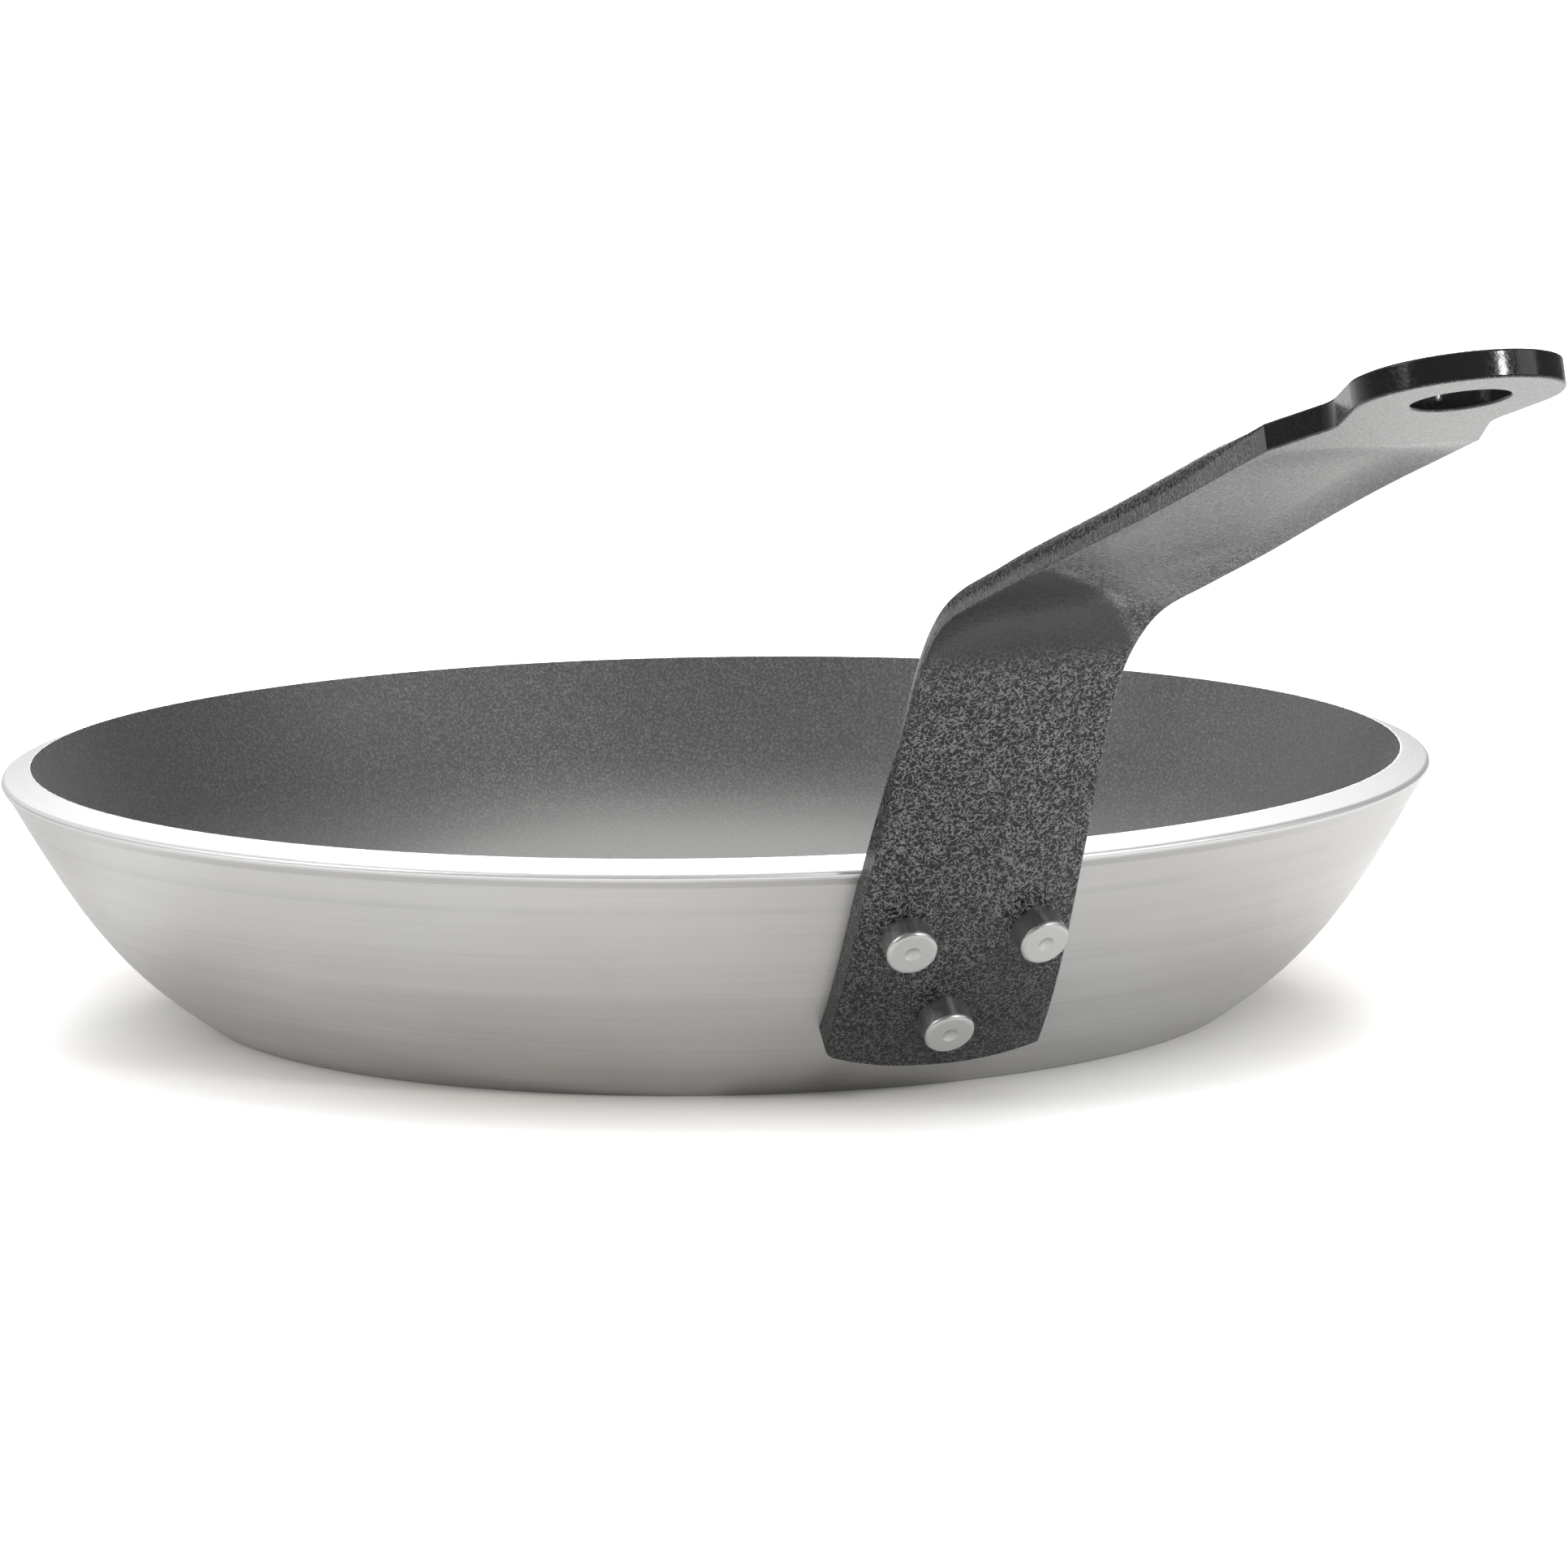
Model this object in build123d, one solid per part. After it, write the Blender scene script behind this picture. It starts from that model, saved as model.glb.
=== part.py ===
from build123d import *
from dataclasses import dataclass
from math import asin, atan2, cos, degrees, radians, sin
import os

# Omelette pan: a thick turned aluminium body with a coated well and a riveted strip handle.
# Millimetres and degrees. +Z is up, the origin is on the pan's axis at the underside of the base,
# and the handle points along +X.

# Pan body: the rim, the outer wall and the base. The wall leaves the base flatter than its chord and
# meets the rim steeper, by the two swings in degrees; its pulls are shares of the chord's length
rim_corner_radius = 120.45
rim_width = 5.15
rim_fall = 1.95
lip_depth = 2.05
lip_overhang = 1.65
lip_round = 0.9
pan_height = 42.5
base_radius = 86.8
base_edge_round = 0.8
wall_foot_swing = 17.17
wall_rim_swing = 10.53
wall_foot_pull_share = 0.3615
wall_rim_pull_share = 0.4434

# Pan body: the well and its non-stick skin
floor_thickness = 5.0
well_floor_inset = 8.8
well_foot_pull_share = 0.3120
well_rim_pull_share = 0.4159
coating_thickness = 0.25

# Strip handle: the stock, and its seat as shares of the wall's length from the base to the lip
strip_thickness = 3.8
seat_gap = 0.15
foot_share = 0.29
seat_overrun_share = 0.12
seat_top_share = 0.80
seat_steps = 6

# Strip handle: the runs above the seat, and the widths where they meet
riser_length = 44.95
bend_radius = 40.0
grip_rise_angle = 17.4
grip_length = 114.95
foot_width = 36.2
seat_top_width = 35.4
riser_width = 32.7
bend_width = 34.2
grip_width = 29.8
shoulder_width = 30.6

# Strip handle: the channel pressed along the grip, and the rounding of the edges
channel_depth = 2.2
channel_flank_width = 5.2
plate_flank_share = 0.42
bend_edge_round = 2.6
grip_edge_round = 1.8
stock_edge_round = 0.4

# Strip handle: the arched foot
foot_arc_radius = 60.0
foot_arc_shift = 1.1
foot_left_round = 3.2
foot_right_round = 0.8

# Strip handle: the waist and the round end with its hole
waist_distance = 13.2
waist_width = 22.4
waist_round = 8.0
hang_end_distance = 27.6
hang_end_radius = 13.9
hang_hole_radius = 6.5
hang_hole_shift = 0.3
hang_end_edge_round = 0.35

# Rivets: the pair high on the seat and the single one below, as shares of the wall's length
rivet_pair_share = 0.85
rivet_lower_share = 0.522
rivet_pair_spacing = 21.2
rivet_pair_shift = 0.8
rivet_lower_shift = -0.7
rivet_shank_radius = 3.1
rivet_hole_clearance = 0.1
rivet_head_radius = 4.05
rivet_head_height = 4.4
rivet_head_round = 0.8
rivet_dimple_radius = 1.3
rivet_dimple_depth = 0.45
rivet_inner_head_radius = 6.2
rivet_inner_head_height = 2.0
rivet_inner_edge_height = 0.6
rivet_bed_depth = 0.9

# How far a cutting tool runs past what it cuts
cut_overrun = 5.0

# Where a section of the handle is drawn, as a share of its run's length, and how far the width has
# changed there. On the riser the third share is how far the seat's curve has flattened. On the bend
# and the grip the third is the channel's depth and the fourth how far its flanks have narrowed
riser_shares = ((0.35, 0.35, 0.0), (0.7, 0.7, 0.6), (1.0, 1.0, 1.0))
bend_shares = ((0.25, 0.1, 0.1, 0.0), (0.5, 0.5, 0.4, 0.05), (0.75, 0.85, 0.8, 0.1), (1.0, 1.0, 1.0, 0.15))
grip_shares = (
    (0.08, 0.02, 1.0, 0.3),
    (0.18, 0.05, 0.95, 0.6),
    (0.28, 0.1, 0.8, 0.8),
    (0.4, 0.35, 0.7, 0.9),
    (0.52, 0.68, 0.75, 0.95),
    (0.64, 0.92, 0.9, 1.0),
    (0.75, 1.0, 1.0, 1.0),
)
shoulder_shares = ((0.83, 0.35, 0.9, 1.0), (0.92, 0.8, 0.45, 1.0), (1.0, 1.0, 0.0, 1.0))


def blend(start, end, share):
    """A value part of the way from start to end."""
    return start + (end - start) * share


def toward(angle, length):
    """An arrow in the half plane of radius and height, raised by an angle from level."""
    return Vector(length * cos(radians(angle)), length * sin(radians(angle)))


def wall_curve(foot, foot_angle, foot_pull_share, rim, rim_angle, rim_pull_share):
    """A wall's half profile: a curve from its foot up to its rim."""
    foot_point = Vector(*foot)
    rim_point = Vector(*rim)
    length = (rim_point - foot_point).length
    foot_handle = foot_point + toward(foot_angle, foot_pull_share * length)
    rim_handle = rim_point - toward(rim_angle, rim_pull_share * length)
    return Bezier(foot_point, foot_handle, rim_handle, rim_point)


def lip_edge():
    """Where the outer wall meets the lip, as a radius and a height."""
    return rim_corner_radius - lip_overhang, pan_height - rim_fall - lip_depth


def wall_chord_angle():
    """The rise of the outer wall's chord from level."""
    radius, height = lip_edge()
    return degrees(atan2(height, radius - base_radius))


def outer_wall():
    """The body's outer half profile, from the base to the lip."""
    foot_angle = wall_chord_angle() - wall_foot_swing
    rim_angle = wall_chord_angle() + wall_rim_swing
    foot = (base_radius, 0)
    return wall_curve(foot, foot_angle, wall_foot_pull_share, lip_edge(), rim_angle, wall_rim_pull_share)


def well_wall(skin=0):
    """The well's half profile from the flat floor to the rim, or that of a skin laid on it."""
    rim_angle = wall_chord_angle() + wall_rim_swing
    floor = (base_radius - well_floor_inset, floor_thickness + skin)
    rim = (rim_corner_radius - rim_width - skin / sin(radians(rim_angle)), pan_height)
    return wall_curve(floor, 0, well_foot_pull_share, rim, rim_angle, well_rim_pull_share)


def turned(edges):
    """A solid turned about the vertical axis from a closed half profile."""
    return revolve(Plane.XZ * make_face(edges), Axis.Z)


def body_blank():
    """The pan body before its rivet holes are drilled."""
    wall = outer_wall()
    well = well_wall()
    rim_edge = Vector(rim_corner_radius, pan_height - rim_fall)
    floor_centre = Vector(0, floor_thickness)
    solid = turned([
        Line((0, 0), wall @ 0),
        wall,
        Line(wall @ 1, rim_edge),
        Line(rim_edge, well @ 1),
        well,
        Line(well @ 0, floor_centre),
        Line(floor_centre, (0, 0)),
    ])
    rings = solid.edges().filter_by(GeomType.CIRCLE)
    solid = fillet(rings.sort_by(lambda ring: ring.radius)[-1], lip_round)
    return fillet(solid.edges().filter_by(GeomType.CIRCLE).sort_by(Axis.Z)[0], base_edge_round)


def coating_blank():
    """The well's non-stick skin before its rivet holes are drilled."""
    under = well_wall()
    face = well_wall(coating_thickness)
    under_centre = Vector(0, floor_thickness)
    face_centre = Vector(0, floor_thickness + coating_thickness)
    return turned([
        Line(under_centre, under @ 0),
        under,
        Line(under @ 1, face @ 1),
        face,
        Line(face @ 0, face_centre),
        Line(face_centre, under_centre),
    ])


@dataclass
class Section:
    """A cross-section of the strip, hung on the line through its two underside edges."""

    place: Vector
    heading: Vector
    width: float
    crown: float
    flank: float
    edge_round: float

    def curve_point(self, inset, rise):
        """A point of the pressed curve, at an inset from the strip's edge."""
        share = 1 - inset / self.flank
        return Vector(self.width / 2 - inset, rise + self.crown * (1 - share * share))

    def corner_point(self, inset, rise):
        """Where the curve's tangent at an inset meets the strip's side."""
        point = self.curve_point(inset, rise)
        slope = 2 * self.crown * (1 - inset / self.flank) / self.flank
        return Vector(self.width / 2, point.Y - slope * inset)

    def pull_point(self, inset, rise):
        """The control point of the flank's curve, between the web and an inset from the edge."""
        return Vector((self.width - self.flank - inset) / 2, rise + self.crown)

    def right_runs(self):
        """Control points of the right half's edges, from the underside's web round to the top's."""
        low_corner = self.corner_point(stock_edge_round, 0)
        low_side = low_corner + Vector(0, stock_edge_round)
        low_flank = self.curve_point(stock_edge_round, 0)
        low_web = self.curve_point(self.flank, 0)
        high_corner = self.corner_point(self.edge_round, strip_thickness)
        high_side = high_corner - Vector(0, self.edge_round)
        high_flank = self.curve_point(self.edge_round, strip_thickness)
        high_web = self.curve_point(self.flank, strip_thickness)
        return [
            (low_web, self.pull_point(stock_edge_round, 0), low_flank),
            (low_flank, low_corner, low_side),
            (low_side, high_side),
            (high_side, high_corner, high_flank),
            (high_flank, self.pull_point(self.edge_round, strip_thickness), high_web),
        ]

    def face(self):
        """The section as a flat face in its place: x across the strip, y toward its upper face."""
        right = self.right_runs()
        left = [[Vector(-point.X, point.Y) for point in reversed(run)] for run in reversed(right)]
        low_web = (left[-1][-1], right[0][0])
        high_web = (right[-1][-1], left[0][0])
        edges = [Bezier(*run) for run in [low_web, *right, high_web, *left]]
        across = Plane((self.place.X, 0, self.place.Y), (0, 1, 0), (self.heading.X, 0, self.heading.Y))
        return across * make_face(edges)


def seat_section(share):
    """The strip's section where it is pressed to the round wall, at a share of the wall's length."""
    wall = outer_wall()
    point = wall @ share
    heading = wall % share
    width = blend(foot_width, seat_top_width, (share - foot_share) / (seat_top_share - foot_share))
    sag = (width / 2) ** 2 * heading.Y / (2 * point.X)
    outward = Vector(heading.Y, -heading.X)
    place = point + outward * (seat_gap + strip_thickness - sag)
    return Section(place, heading, width, -sag, plate_flank_share * width, stock_edge_round)


def handle_route():
    """The riser, the bend and the grip, as lines in the half plane of radius and height."""
    seat_top = seat_section(seat_top_share)
    riser = Line(seat_top.place, seat_top.place + seat_top.heading * riser_length)
    turn = grip_rise_angle - degrees(atan2(seat_top.heading.Y, seat_top.heading.X))
    bend = JernArc(riser @ 1, riser % 1, bend_radius, turn)
    grip = Line(bend @ 1, (bend @ 1) + (bend % 1) * grip_length)
    return riser, bend, grip


def handle_sections():
    """The strip's sections from below the foot up to the shoulder."""
    seat_start_share = foot_share - seat_overrun_share
    seat_shares = [blend(seat_start_share, seat_top_share, step / seat_steps) for step in range(seat_steps + 1)]
    sections = [seat_section(share) for share in seat_shares]
    seat_crown = sections[-1].crown
    plate_flank = plate_flank_share * seat_top_width
    riser, bend, grip = handle_route()

    def add(run, share, width, crown, flank, edge_round):
        sections.append(Section(run @ share, run % share, width, crown, flank, edge_round))

    for share, change, flattening in riser_shares:
        width = blend(seat_top_width, riser_width, change)
        edge_round = blend(stock_edge_round, bend_edge_round, flattening)
        add(riser, share, width, blend(seat_crown, 0, flattening), plate_flank, edge_round)
    for run, shares, widths, edge_rounds in (
        (bend, bend_shares, (riser_width, bend_width), (bend_edge_round, bend_edge_round)),
        (grip, grip_shares, (bend_width, grip_width), (bend_edge_round, grip_edge_round)),
        (grip, shoulder_shares, (grip_width, shoulder_width), (grip_edge_round, stock_edge_round)),
    ):
        for share, change, depth, narrowing in shares:
            flank = blend(plate_flank, channel_flank_width, narrowing)
            add(run, share, blend(*widths, change), channel_depth * depth, flank, blend(*edge_rounds, change))
    return sections


def handle_strip():
    """The pressed strip before its two ends are cut to shape."""
    faces = [section.face() for section in handle_sections()]
    end_length = hang_end_distance + hang_end_radius + cut_overrun
    return loft(faces) + extrude(faces[-1], end_length, dir=hang_end_frame().x_dir)


def hang_end_frame():
    """The plane of the hanging end's underside: x on from the shoulder and y across."""
    grip = handle_route()[-1]
    place = grip @ 1
    heading = grip % 1
    return Plane((place.X, 0, place.Y), (heading.X, 0, heading.Y), (-heading.Y, 0, heading.X))


def end_outline():
    """The outline of the waist and the round end, from the shoulder on."""
    waist = Vector(waist_distance, waist_width / 2)
    to_eye = Vector(hang_end_distance, 0) - waist
    swing = asin(hang_end_radius / to_eye.length)
    tangent_length = to_eye.length * cos(swing)
    tangent = waist + toward(degrees(atan2(to_eye.Y, to_eye.X) + swing), tangent_length)
    shoulder = Vector(0, shoulder_width / 2)
    side = [tangent, waist, shoulder]
    other_side = [Vector(point.X, -point.Y) for point in reversed(side)]
    tip = Vector(hang_end_distance + hang_end_radius, 0)
    outline = make_face([Polyline(*side, *other_side), ThreePointArc(other_side[-1], tip, tangent)])
    return fillet(outline.vertices().group_by(Axis.X)[1], waist_round)


def end_waste():
    """What is cut from the strip past the shoulder to leave the waist, the round end and its hole."""
    length = hang_end_distance + hang_end_radius + 2 * cut_overrun
    block = Pos(length / 2, 0) * Rectangle(length, shoulder_width + 2 * cut_overrun)
    hole = Pos(hang_end_distance, hang_hole_shift) * Circle(hang_hole_radius)
    reach = strip_thickness + cut_overrun
    return extrude(hang_end_frame() * (block - end_outline() + hole), reach, both=True)


def foot_waste():
    """What is cut from the strip's lower end to leave its arched foot."""
    arch = Pos(foot_arc_shift, foot_arc_radius) * Circle(foot_arc_radius)
    outline = arch & Rectangle(foot_width, foot_width)
    half_width = foot_width / 2
    outline = fillet(outline.vertices().sort_by_distance((-half_width, 0))[0], foot_left_round)
    outline = fillet(outline.vertices().sort_by_distance((half_width, 0))[0], foot_right_round)
    block = Rectangle(foot_width + 2 * cut_overrun, foot_width)
    foot = seat_section(foot_share)
    outward = (foot.heading.Y, 0, -foot.heading.X)
    frame = Plane((foot.place.X, 0, foot.place.Y), (0, 1, 0), outward)
    return extrude(frame * (block - outline), strip_thickness + cut_overrun, both=True)


def handle_blank():
    """The handle before its rivet holes are drilled, with the hanging end's edges broken."""
    solid = handle_strip() - end_waste() - foot_waste()
    frame = hang_end_frame()
    middle = strip_thickness / 2
    rims = []
    for edge in solid.edges():
        centre = frame.to_local_coords(edge.center())
        on_a_face = abs(centre.Z - middle) > middle / 2
        if on_a_face and centre.X > waist_distance / 3:
            rims.append(edge)
    return fillet(rims, hang_end_edge_round)


def rivet_place(share, across):
    """Where a rivet's axis leaves the wall, from its height on the wall and its place on the strip."""
    wall = outer_wall()
    point = wall @ share
    heading = wall % share
    head_radius = point.X + heading.Y * (seat_gap + strip_thickness)
    frame = Plane((point.X, 0, point.Y), (0, 1, 0), (heading.Y, 0, -heading.X))
    return Rot(0, 0, degrees(asin(across / head_radius))) * frame.location


def rivet_hole():
    """The hole that a rivet's shank passes through, about the wall's outer face."""
    reach = strip_thickness + floor_thickness + cut_overrun
    return Cylinder(rivet_shank_radius + rivet_hole_clearance, 2 * reach)


def rivet_blank(share):
    """A rivet about its axis, with both heads sunk past the faces that they bear on."""
    inner = -well_wall(coating_thickness).distance_to(outer_wall() @ share)
    outer = seat_gap + strip_thickness
    head_top = outer + rivet_head_height
    inner_edge = Vector(rivet_inner_head_radius, inner - rivet_inner_edge_height)
    inner_top = Vector(0, inner - rivet_inner_head_height)
    inner_pull = Vector(rivet_inner_head_radius / 2, inner_top.Y)
    dimple = Vector(0, head_top - rivet_dimple_depth)
    dimple_pull = Vector(rivet_dimple_radius / 2, dimple.Y)
    body = [
        Vector(rivet_dimple_radius, head_top),
        Vector(rivet_head_radius, head_top),
        Vector(rivet_head_radius, outer - rivet_bed_depth),
        Vector(rivet_shank_radius, outer - rivet_bed_depth),
        Vector(rivet_shank_radius, inner + rivet_bed_depth),
        Vector(rivet_inner_head_radius, inner + rivet_bed_depth),
        inner_edge,
    ]
    solid = turned([
        Bezier(dimple, dimple_pull, body[0]),
        Polyline(*body),
        Bezier(inner_edge, inner_pull, inner_top),
        Line(inner_top, dimple),
    ])
    head_ring = solid.edges().group_by(Axis.Z)[-1].sort_by(lambda ring: ring.radius)[-1]
    return fillet(head_ring, rivet_head_round)


def pieces():
    """Every piece in its place, by name."""
    half_spacing = rivet_pair_spacing / 2
    rivets = {
        "rivet_left": (rivet_pair_share, rivet_pair_shift - half_spacing),
        "rivet_right": (rivet_pair_share, rivet_pair_shift + half_spacing),
        "rivet_lower": (rivet_lower_share, rivet_lower_shift),
    }
    holes = [rivet_place(share, across) * rivet_hole() for share, across in rivets.values()]
    made = {
        "pan_body": body_blank() - holes,
        "nonstick_coating": coating_blank() - holes,
        "handle": handle_blank() - holes,
    }
    held = list(made.values())
    for name, (share, across) in rivets.items():
        made[name] = rivet_place(share, across) * rivet_blank(share) - held
    return made


def main():
    """Writes every piece to parts/."""
    os.makedirs("parts", exist_ok=True)
    for name, piece in pieces().items():
        piece.label = name
        export_step(piece, f"parts/{name}.step")
        print(name, "volume", round(piece.volume), "solids", len(piece.solids()))


if __name__ == "__main__":
    main()
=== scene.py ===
"""Dresses, lights and frames an omelette pan: a turned aluminium body, a coated well and a riveted handle.

Lengths are in metres in the part's own frame. +Z is up, the origin is the centre of the underside of
the base, and the handle points along +X.
"""

import logging
import math
from dataclasses import dataclass, field
from enum import Enum

import bpy
from mathutils import Matrix, Vector

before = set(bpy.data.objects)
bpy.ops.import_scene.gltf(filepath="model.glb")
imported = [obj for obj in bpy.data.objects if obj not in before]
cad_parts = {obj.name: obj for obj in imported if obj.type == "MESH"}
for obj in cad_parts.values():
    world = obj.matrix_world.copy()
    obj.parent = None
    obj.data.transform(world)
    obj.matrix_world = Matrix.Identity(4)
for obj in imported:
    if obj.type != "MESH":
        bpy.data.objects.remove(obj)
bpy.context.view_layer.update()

LOG = logging.getLogger("omelette_pan")

Colour = tuple[float, float, float]
Direction = tuple[float, float, float]
Span = tuple[float, float]
Socket = bpy.types.NodeSocket

WHITE: Colour = (1.0, 1.0, 1.0)
MIDDLE_OF_NOISE = 0.5


class Slot(Enum):
    """The record's material slots."""

    TURNED = "turned_aluminium"
    NONSTICK = "nonstick"
    HAMMERED = "hammered_steel"
    RIVET = "rivet_aluminium"


class Node(Enum):
    """The part's solids."""

    BODY = "pan_body"
    COATING = "nonstick_coating"
    HANDLE = "handle"
    RIVET_LEFT = "rivet_left"
    RIVET_RIGHT = "rivet_right"
    RIVET_LOWER = "rivet_lower"


def rgba(colour: Colour) -> tuple[float, float, float, float]:
    """An opaque colour with its alpha."""
    return (*colour, 1.0)


class Graph:
    """Adds nodes to one node tree and links them."""

    def __init__(self, tree: bpy.types.NodeTree) -> None:
        """Starts with an empty tree.

        Args:
            tree: The node tree of a material, a world or a group.
        """
        self.tree = tree
        self.tree.nodes.clear()

    def add(self, kind: str, inputs: dict | None = None, **settings: object) -> bpy.types.Node:
        """Adds one node, sets its options and fills its inputs.

        Args:
            kind: The node's type name.
            inputs: What each input gets, by its name or number: a socket to link, or a value.
            settings: The node's own options by name.

        Returns:
            The new node.
        """
        node = self.tree.nodes.new(kind)
        for name, value in settings.items():
            setattr(node, name, value)
        for name, value in (inputs or {}).items():
            if isinstance(value, Socket):
                self.tree.links.new(value, node.inputs[name])
            else:
                node.inputs[name].default_value = value
        return node

    def calc(self, operation: str, *values: object) -> Socket:
        """The result of a sum on sockets and numbers.

        Args:
            operation: The Math node's operation.
            values: One to three sockets or numbers.

        Returns:
            The result's socket.
        """
        return self.add("ShaderNodeMath", dict(enumerate(values)), operation=operation).outputs[0]

    def remap(
        self, value: object, low: float, high: float, to_low: float = 0, to_high: float = 1
    ) -> Socket:
        """A value moved smoothly from one range to another and held inside it.

        Args:
            value: The socket to move.
            low: Where the range starts.
            high: Where the range ends.
            to_low: The result at the start.
            to_high: The result at the end.

        Returns:
            The result's socket.
        """
        inputs = {"Value": value, "From Min": low, "From Max": high, "To Min": to_low, "To Max": to_high}
        return self.add("ShaderNodeMapRange", inputs, interpolation_type="SMOOTHSTEP").outputs["Result"]

    def blend(self, share: object, first: object, second: object) -> Socket:
        """A colour part of the way from one to another.

        Args:
            share: How far to go, from 0 to 1.
            first: The colour at 0.
            second: The colour at 1.

        Returns:
            The colour's socket.
        """
        inputs = {"Factor": share, 6: first, 7: second}
        return self.add("ShaderNodeMix", inputs, data_type="RGBA").outputs[2]

    def place(self) -> Socket:
        """Where the shaded point lies on the part."""
        return self.add("ShaderNodeTexCoord").outputs["Object"]

    def split(self, vector: Socket) -> bpy.types.NodeOutputs:
        """The three coordinates of a vector."""
        return self.add("ShaderNodeSeparateXYZ", {0: vector}).outputs

    def dot(self, vector: Socket, direction: Direction) -> Socket:
        """How much of a vector points along a direction."""
        inputs = {0: vector, 1: direction}
        return self.add("ShaderNodeVectorMath", inputs, operation="DOT_PRODUCT").outputs["Value"]

    def facing(self, direction: Direction) -> Socket:
        """How far the solid's own face points along a direction, from -1 to 1."""
        return self.dot(self.add("ShaderNodeNewGeometry").outputs["True Normal"], direction)

    def mirror_ray(self, rays: bpy.types.NodeOutputs) -> Socket:
        """Whether a ray was reflected by a gloss or let through by glass."""
        return self.calc("MAXIMUM", rays["Is Glossy Ray"], rays["Is Transmission Ray"])

    def group(self, tree: bpy.types.NodeTree, inputs: dict) -> bpy.types.Node:
        """Places a shared effect.

        Args:
            tree: The effect's node group.
            inputs: What its inputs get.

        Returns:
            The group's node.
        """
        return self.add("ShaderNodeGroup", inputs, node_tree=tree)


def effect_tree(name: str, inputs: dict[str, str], outputs: dict[str, str]) -> bpy.types.NodeTree:
    """A new shader node group with named sockets.

    Args:
        name: The group's name.
        inputs: The kind of each input socket by its name.
        outputs: The kind of each output socket by its name.

    Returns:
        The group, with no nodes yet.
    """
    tree = bpy.data.node_groups.new(name, "ShaderNodeTree")
    for direction, sockets in (("INPUT", inputs), ("OUTPUT", outputs)):
        for label, kind in sockets.items():
            tree.interface.new_socket(label, in_out=direction, socket_type="NodeSocket" + kind)
    return tree


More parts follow.
